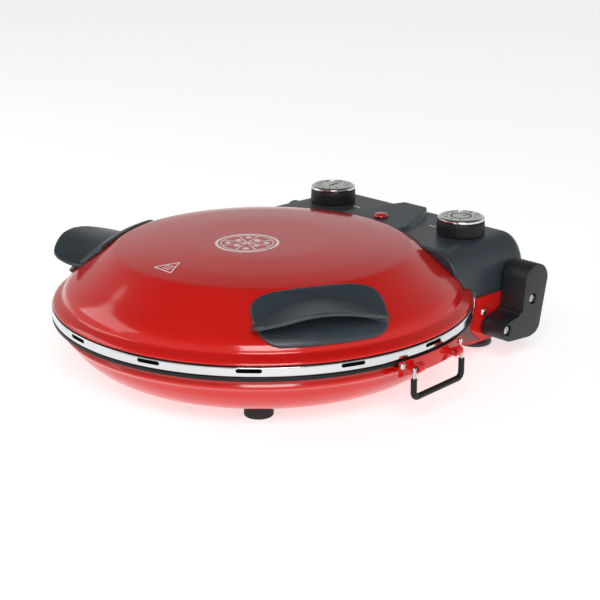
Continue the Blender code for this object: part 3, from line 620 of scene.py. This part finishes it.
def bail_strip():
    """The strip along the pan, with two curled knuckles for the bail."""
    section = rounded(
        [(172.9, 50), (181.2, 50), (181.2, 44.1), (182.5, 44.1), (182.5, 56.4), (181.2, 56.4), (181.2, 51.3),
         (172.9, 51.3)], 0.4, 2)
    rows = []
    steps = 40
    for k in range(steps + 1):
        angle = BAIL_ANGLE - 12 + 26 * k / steps
        rows.append([polar(r, angle, z) for r, z in section])
    count = len(section)
    points = [p for row in rows for p in row]
    faces = [list(range(count)), list(range(steps * count, (steps + 1) * count))]
    for k in range(steps):
        for i in range(count):
            j = (i + 1) % count
            faces.append([k * count + i, k * count + j, (k + 1) * count + j, (k + 1) * count + i])
    strip = closed(points, faces)
    holes = []
    for shift in (0, -49):
        knuckle = eased(turned([(0, 21), (4, 21), (4, 28), (0, 28)], axis="Y", segments=40), 0.4, 2)
        web = prism([(-7, 21.5), (0, 21.5), (0, 27.5), (-7, 27.5)], -3.5, 0)
        hole = turned([(0, 15), (2.2, 15), (2.2, 34), (0, 34)], axis="Y", segments=32)
        for piece in (knuckle, web, hole):
            piece.transform(bail_frame() @ Matrix.Translation((0, shift * MM, 0)))
        strip = boolean(strip, [web, knuckle], "UNION")
        holes.append(hole)
    return boolean(strip, holes)


pair("bail_strip_{side}_curled", bail_strip(), "base", RED, ["bail_strip_{side}"])
for label, angle in (("front", BAIL_ANGLE - 11), ("rear", BAIL_ANGLE + 13)):
    dome = curve([(2.8, 183.1), (2.7, 183.7), (2, 184.4), (1, 184.7), (0.01, 184.8)], 3)
    head = turned([(0.01, 183)] + [(2.6, 183)] + dome, axis="X", segments=32)
    head.transform(Matrix.Rotation(math.radians(angle), 4, "Z") @ Matrix.Translation((0, 0, 53 * MM)))
    pair(
        f"strip_rivet_{label}_{{side}}_dome", head, "base", ZINC,
        [f"strip_rivet_{label}_{{side}}"],
    )


# ---------------------------------------------------------------- lid

LID_SMOOTH = curve(LID_LINE)
lid_edge = LID_SMOOTH + [(178.8, 65.86), (178.4, 65.84)]
lid_inside = [(r, z) for r, z in offset_line(LID_SMOOTH, -1.3)[::-1] if z > 66.2]
place("lid_dome", turned(lid_edge + [(177.9, 66)] + lid_inside), "lid", RED, ["lid_shell"], 50)
place(
    "lid_bright_liner", turned(sheet(curve(LID_LINER_LINE, 3), 0.9)), "lid", STEEL,
    ["lid_reflector"],
)


def dome_space(lift=0.5):
    """The space that the lid takes up, with a gap round it."""
    line = offset_line(LID_SMOOTH, lift)
    return turned(line + [(183.2, line[-1][1]), (183.2, 40), (0, 40)])


def element_path(ring, level, ends):
    """A heating ring, open at the back, with both ends led away."""
    start = math.degrees(math.asin(TERMINAL_X / ring))
    steps = 96
    turn = []
    for i in range(steps + 1):
        angle = math.radians(90 - start - (360 - 2 * start) * i / steps)
        turn.append((ring * math.cos(angle), ring * math.sin(angle), level))
    first = [(turn[0][0], turn[0][1] + dy, level + dz) for dy, dz in ends]
    return first + turn[1:-1] + [(-x, y, z) for x, y, z in reversed(first)]


place(
    "upper_heating_tube",
    swept(element_path(
        ELEMENT_RING, ELEMENT_LEVEL, [(62.8, 0), (30, 0), (8, 0), (3, 0), (0.8, -0.1)],
    ), 3.1),
    "lid", COIL, ["upper_element"],
)


# ---------------------------------------------------------------- control housing

def housing_section(x, inset=0.0, bottom=74.5):
    """The housing's (y, z) outline at a distance x from its middle."""
    along = max(abs(x) - SHOULDER, 0) / (HOUSING_END - SHOULDER)
    top = 103 - 25 * (1 - math.sqrt(max(1 - along * along, 0))) - inset
    rear = 205 - 8.5 * along * along - inset
    round_off = min(9 - inset, top - 75.5)
    front = 108 + inset
    corner = arc((rear - round_off, top - round_off), round_off, 0, 90, 10)
    return [(front, bottom), (rear, bottom), *corner, (front, top)]


def housing_loft(distances, inset=0.0, bottom=74.5):
    """The housing's solid through its sections on both sides."""
    stations = [-d for d in reversed(distances)] + list(distances)
    sections = [[(x, y, z) for y, z in housing_section(x, inset, bottom)] for x in stations]
    count = len(sections[0])
    points = [p for section in sections for p in section]
    faces = [list(range(count)), list(range(len(points) - count, len(points)))]
    for s in range(len(stations) - 1):
        for i in range(count):
            j = (i + 1) % count
            faces.append([s * count + i, s * count + j, (s + 1) * count + j, (s + 1) * count + i])
    return closed(points, faces)


def housing_cover():
    """The housing: its body, two hinge ends and the tongue between the knobs, hollowed out."""
    solids = [housing_loft([
        SHOULDER, 101, 104, 107, 110, 113, 116, 118.5, 120.5, 122, 123.2, 124, HOUSING_END,
    ])]
    below = [(112, 56.6)] + arc(PIVOT, 15.9, -106, -6, 24) + [(195.5, 80), (112, 80)]
    for side in (1, -1):
        low, high = sorted((side * 107, side * HOUSING_END))
        solids.append(prism(below, low, high, axis="X"))
    plan = rounded([(39, 126), (39, 142), (15, 193), (-15, 193), (-39, 142), (-39, 126)], 4, 5)
    tongue = prism(plan, 100, 106)
    for vertex in tongue.vertices:
        if vertex.co.z > 105 * MM:
            vertex.co.z += 3 * MM * (vertex.co.y / MM - 142) / 51
    solids.append(tongue)
    cover = moulded(solids, 1.1, 4)
    cutters = [housing_loft([SHOULDER, 101, 104.5], 2.5, 60)]
    for side in (1, -1):
        centre = (side * KNOB_X, KNOB_Y, 0)
        cutters.append(turned([(0, 90), (5, 90), (5, 110), (0, 110)], centre, segments=32))
        low, high = sorted((side * 109, side * 130))
        cutters.append(turned([(0, low), (4.4, low), (4.4, high), (0, high)], (0, *PIVOT), "X", 40))
    cutters.append(turned([(0, 90), (5, 90), (5, 112), (0, 112)], LAMP, segments=40))
    cutters.append(turned([(0, 195), (6.6, 195), (6.6, 210), (0, 210)], CORD_INLET, "Y", 40))
    return boolean(cover, cutters + [dome_space()])


place("control_housing", housing_cover(), "lid", SLATE, ["housing_cover"], 40)
lens = curve([(6.6, 106.8), (6.5, 107.6), (5.4, 108.9), (3, 109.5), (0.01, 109.7)], 4)
lens = [(3.9, 101.5), (4.6, 101.5), (4.6, 106.7)] + lens + [(0.01, 108), (3.6, 107.4), (3.9, 106.4)]
place("indicator_lens", turned(lens, LAMP, segments=64), "lid", LENS, ["lamp_lens"])
gland = rounded([(3.6, 197), (6, 197), (6, 205.6), (9, 205.6), (9, 207.5), (6.4, 211.4), (3.6, 211.4)], 0.6)
place("cord_inlet_gland", turned(gland, CORD_INLET, "Y", 64), "lid", BLACK, ["cord_inlet"])
for side in (1, -1):
    dash = rounded([(-4, -0.8), (4, -0.8), (4, 0.8), (-4, 0.8)], 0.5)
    mark = prism([(x + side * 47.7, y + KNOB_Y - 0.4) for x, y in dash], 103.05, 103.2)
    place(f"pointer_mark_{'right' if side > 0 else 'left'}", mark, "lid", PRINT)


# ---------------------------------------------------------------- knobs

def ribbed(radius, depth, count, angle):
    """A radius that dips between ribs."""
    return radius - depth * (0.5 - 0.5 * math.cos(count * angle)) ** 2


def knob_body():
    """A black grip with fine upright ribs."""
    segments = 288
    profile = [
        (3.4, 103.6, 0), (20.6, 103.6, 0), (21.3, 104.1, 0.3), (21.3, 107, 1),
        (21.1, 111.5, 1), (20.9, 115, 1), (20.4, 115.6, 0), (3.4, 115.6, 0),
    ]
    points, faces = [], []
    for radius, z, share in profile:
        for step in range(segments):
            angle = 2 * math.pi * step / segments
            r = ribbed(radius, 0.3 * share, 48, angle)
            points.append((r * math.cos(angle), r * math.sin(angle), z))
    rows = len(profile)
    for k in range(rows):
        for step in range(segments):
            nxt = (step + 1) % segments
            low, high = k * segments, ((k + 1) % rows) * segments
            faces.append([low + step, low + nxt, high + nxt, high + step])
    return closed(points, faces)


def tick(radius, angle, length, width, high=MARK_HIGH):
    """A straight mark on a dial, its inner end at radius."""
    bar = rounded([
        (radius, -width / 2), (radius + length, -width / 2), (radius + length, width / 2), (radius, width / 2),
    ], width * 0.3, 2)
    turn = math.radians(angle)
    outline = [
        (x * math.cos(turn) - y * math.sin(turn), x * math.sin(turn) + y * math.cos(turn)) for x, y in bar
    ]
    return prism(outline, MARK_LOW, high)


for name, side in (("timer", -1), ("thermostat", 1)):
    shift = Matrix.Translation((side * KNOB_X * MM, KNOB_Y * MM, 0))
    body = knob_body()
    bezel_line = [(16.9, 116.1), (20.8, 116.1), (20.8, 118), (18.6, 119.3), (16.9, 119.3)]
    rim = turned(rounded(bezel_line, 0.35), segments=128)
    face_line = [(0.01, 116.1), (16.7, 116.1), (16.7, 119), (0.01, 119)]
    face = turned(rounded(face_line, 0.2), segments=128)
    marks = []
    if side < 0:
        marks += [tick(11.6, 20 + 28 * k, 3.6, 1) for k in range(12)]
        marks.append(tick(-6, 100, 15, 1.6, 119.2))
    else:
        marks += [tick(12, 20 + 36 * k, 3.2, 1) for k in range(9)]
        ring_line = [(8, MARK_LOW), (9.4, MARK_LOW), (9.4, 119.14), (8, 119.14)]
        marks.append(turned(ring_line, segments=96))
        marks.append(tick(2, 70, 5, 1.4, 119.2))
    marks = together(marks)
    for mesh in (body, rim, face, marks):
        mesh.transform(shift)
    knob = f"{name}_knob"
    place(f"{knob}_grip", body, knob, BLACK, [knob], 50)
    place(f"{knob}_bezel", rim, knob, CHROME, [f"{knob}_cap"])
    place(f"{knob}_dial", face, knob, DIAL)
    place(f"{knob}_marks", marks, knob, INK)


# ---------------------------------------------------------------- lid handles

# The brim's inner and outer edges as (angle, radius, height).
ROOT = [
    (-45.5, 153, 90.5), (-44, 150.5, 92.5), (-35.4, 139.9, 100.3), (-28.7, 136.8, 102.8),
    (-21.4, 137.2, 102.6), (-12.7, 142.2, 98.5), (-5, 155.5, 89), (-3.5, 158, 87.5),
]
LIP = [
    (-45.5, 160, 91.5), (-44.3, 172, 94), (-42.5, 180, 97.5), (-40, 183, 100), (-36, 184.4, 103),
    (-32, 184.5, 106), (-27, 183.4, 107), (-20.5, 180.5, 104), (-13, 174.5, 97), (-8, 169, 91.5),
    (-5, 163, 88.5), (-3.5, 160, 87),
]


def skirt_point(radius, lift):
    """A point lifted off the skirt of the lid along its normal."""
    rise = height(LID_SMOOTH, radius + 2) - height(LID_SMOOTH, radius - 2)
    size = math.hypot(4, rise)
    return radius - rise / size * lift, height(LID_SMOOTH, radius) + 4 / size * lift


def handle_plate():
    """The plate that lies on the lid's skirt: rows of (radius, half angle, share of thickness)."""
    rows = [
        (127, 5, 0.45), (127.6, 8.2, 0.5), (128.6, 11.3, 0.62), (130.2, 14.4, 0.8), (132.6, 17.3, 0.95),
        (136, 20, 1), (140.5, 21.5, 1), (146, 21.6, 1), (152, 20.8, 1), (158, 19.7, 1), (163, 18.6, 1),
        (166, 17.4, 1), (168, 15.9, 1), (169.2, 13.6, 0.85),
    ]
    grids = []
    for lift in (3.4, 0):
        grid = []
        for radius, half, share in rows:
            r, z = skirt_point(radius, lift * share)
            grid.append([polar(r, HANDLE_ANGLE + half * (-1 + c / 20), z) for c in range(41)])
        grids.append(grid)
    return slab(*grids)


def visor():
    """The brim over the fingers: thick at its root, thin and rounded at its lip."""
    root, lip = curve(ROOT, 8), curve(LIP, 6)
    upper, lower = [], []
    rows = 14
    for r in range(rows + 1):
        out = r / rows
        top_row, bottom_row = [], []
        for c in range(49):
            angle = -45.2 + 41.4 * c / 48
            root_r, root_z = between(root, angle)
            lip_r, lip_z = between(lip, angle)
            sink = 3.5 * (1 - out) ** 2
            radius = root_r - 2 + (lip_r - root_r + 2) * out
            dip = 2.2 * math.sin(math.pi * out)
            z = root_z + (lip_z - root_z) * out - dip + 1.2 * (1 - out)
            thick = 3.4 + sink
            top_row.append(polar(radius, angle, z))
            bottom_row.append(polar(radius, angle, z - thick))
        upper.append(top_row)
        lower.append(bottom_row)
    return slab(upper, lower)


handle = boolean(moulded([handle_plate(), visor()], 0.9, 6), [dome_space(0.35)])
pair("handle_{side}_visor", handle, "lid", SLATE, ["handle_{side}"], 60)


# ---------------------------------------------------------------- print on the lid

def on_lid(x, y, lift):
    """The point above (x, y) that stands lift over the lid."""
    return (x, y, height(LID_SMOOTH, math.hypot(x, y)) + lift)


def ribbon(left, right):
    """A thin printed band on the lid between two rows of plan points."""
    return slab([[on_lid(*p, 0.16) for p in row] for row in (left, right)],
                [[on_lid(*p, 0.03) for p in row] for row in (left, right)])


def stroke(a, b, width, steps=8):
    """A straight printed line."""
    a, b = Vector(a), Vector(b)
    across = (b - a).orthogonal().normalized() * width / 2
    line = [a + (b - a) * k / steps for k in range(steps + 1)]
    return ribbon([tuple(p + across) for p in line], [tuple(p - across) for p in line])


def pictogram(cx, cy, size):
    """A plain round pizza from above: two rings, cut lines and a few toppings."""
    parts = []
    for outer, width in ((size, 2.6), (size - 4.6, 1)):
        parts.append(ribbon(arc((cx, cy), outer, 0, 360, 96), arc((cx, cy), outer - width, 0, 360, 96)))
    for k in range(4):
        angle = math.radians(22 + 45 * k)
        dx, dy = (size - 5.4) * math.cos(angle), (size - 5.4) * math.sin(angle)
        parts.append(stroke((cx - dx, cy - dy), (cx + dx, cy + dy), 1.1, 16))
    for k in range(8):
        angle = math.radians(44.5 + 45 * k)
        reach = size * (0.42 if k % 2 else 0.6)
        spot = (cx + reach * math.cos(angle), cy + reach * math.sin(angle))
        parts.append(ribbon(arc(spot, 2.6, 0, 360, 24), arc(spot, 0.2, 0, 360, 24)))
    return together(parts)


def heat_warning(cx, cy, size):
    """A plain triangle round three rising lines."""
    corners = [
        (cx + size * math.cos(math.radians(a)), cy + size * math.sin(math.radians(a))) for a in (90, 210, 330)
    ]
    parts = [stroke(a, b, 1.1, 10) for a, b in zip(corners, corners[1:] + corners[:1])]
    for shift in (-3, 0, 3):
        wave = [(cx + shift + 0.6 * math.sin(k * math.pi / 4), cy - 4 + k) for k in range(9)]
        parts.append(ribbon([(x - 0.45, y) for x, y in wave], [(x + 0.45, y) for x, y in wave]))
    return together(parts)


place("pizza_pictogram", pictogram(8, -24, 27), "lid", PRINT)
place("heat_warning_sign", heat_warning(6, -107, 12), "lid", PRINT)


# ---------------------------------------------------------------- studio

floor_mesh = bpy.data.meshes.new("floor")
reach = 4
floor_mesh.from_pydata(
    [(-reach, -reach, 0), (reach, -reach, 0), (reach, reach, 0), (-reach, reach, 0)], [], [(0, 1, 2, 3)],
)
floor = bpy.data.objects.new("floor", floor_mesh)
bpy.context.scene.collection.objects.link(floor)
pale = material("pale_floor", (0.72, 0.72, 0.72), 0.7, shade=0.99, spot=3)
glow = pale.node_tree.nodes["Principled BSDF"].inputs
glow["Emission Color"].default_value = (1, 1, 1, 1)
glow["Emission Strength"].default_value = 0.62
floor_mesh.materials.append(pale)

camera_data = bpy.data.cameras.new("camera")
camera_data.lens = 90.345
camera_data.sensor_width = 36
camera_data.shift_x = 0.0622
camera_data.shift_y = -0.0147
camera = bpy.data.objects.new("camera", camera_data)
right = Vector((0.67015, 0.74217, -0.00917))
up = Vector((-0.22214, 0.21235, 0.95161))
back = Vector((0.70820, -0.63568, 0.30717))
turn = Matrix((right, up, back)).transposed().to_4x4()
stand = (0.91665, -0.82278 + MIDDLE * MM, 0.46459)
camera.matrix_world = Matrix.Translation(stand) @ turn
bpy.context.scene.collection.objects.link(camera)
bpy.context.scene.camera = camera

world = bpy.data.worlds.new("studio")
world.use_nodes = True
nodes, links = world.node_tree.nodes, world.node_tree.links
where = nodes.new("ShaderNodeTexCoord")
split = nodes.new("ShaderNodeSeparateXYZ")
sky = nodes.new("ShaderNodeValToRGB")
links.new(where.outputs["Generated"], split.inputs["Vector"])
links.new(split.outputs["Z"], sky.inputs["Fac"])
links.new(sky.outputs["Color"], nodes["Background"].inputs["Color"])
sky.color_ramp.elements[0].position = 0.3
sky.color_ramp.elements[0].color = (1, 1, 1, 1)
sky.color_ramp.elements[1].position = 0.8
sky.color_ramp.elements[1].color = (0.16, 0.16, 0.16, 1)
nodes["Background"].inputs["Strength"].default_value = 0.6
bpy.context.scene.world = world


def softbox(name, where, target, size, power):
    """A rectangular lamp that faces a target."""
    data = bpy.data.lights.new(name, "AREA")
    data.shape = "RECTANGLE"
    data.size, data.size_y = size
    data.energy = power
    lamp = bpy.data.objects.new(name, data)
    lamp.location = where
    lamp.rotation_euler = (Vector(target) - Vector(where)).to_track_quat("-Z", "Y").to_euler()
    bpy.context.scene.collection.objects.link(lamp)


softbox("left", (-1.5, -1.05, 1), (0, 0, 0.06), (1.5, 0.9), 9)
softbox("front", (1.6, -1.3, 1.5), (0, 0, 0.06), (1.2, 0.9), 34)
bpy.context.scene.view_settings.view_transform = "Standard"
